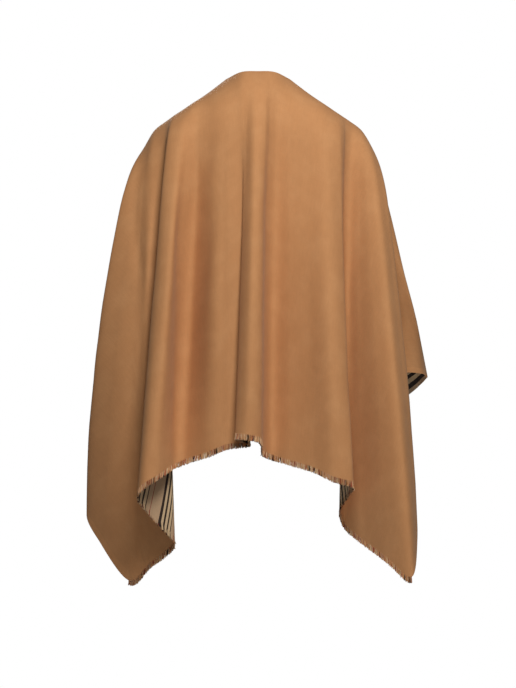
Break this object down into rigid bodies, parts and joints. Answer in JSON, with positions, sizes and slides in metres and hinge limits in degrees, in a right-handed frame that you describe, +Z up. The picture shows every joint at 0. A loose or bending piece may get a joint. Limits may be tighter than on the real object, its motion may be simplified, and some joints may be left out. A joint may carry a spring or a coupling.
{
  "type": "wool cape",
  "caption": "Hip-length camel wool cape worn open over the shoulders, with a short fringe along its hems and corners that hang in points at the sides.",
  "frame": {"origin": "middle of the wearer's neck, level with the nape, where the neck and shoulders hold the cape up", "axes": "+Z up, +Y towards the wearer's back, +X towards the wearer's left arm"},
  "size_m": [0.6148, 0.5071, 0.911],
  "materials": {
    "wool": "matte",
    "yarn": "matte"
  },
  "bodies": {
    "root": {"back_panel": "wool", "front_left_panel": "wool", "front_right_panel": "wool", "back_fringe": "yarn", "front_left_fringe": "yarn", "front_right_fringe": "yarn"}
  },
  "joints": []
}
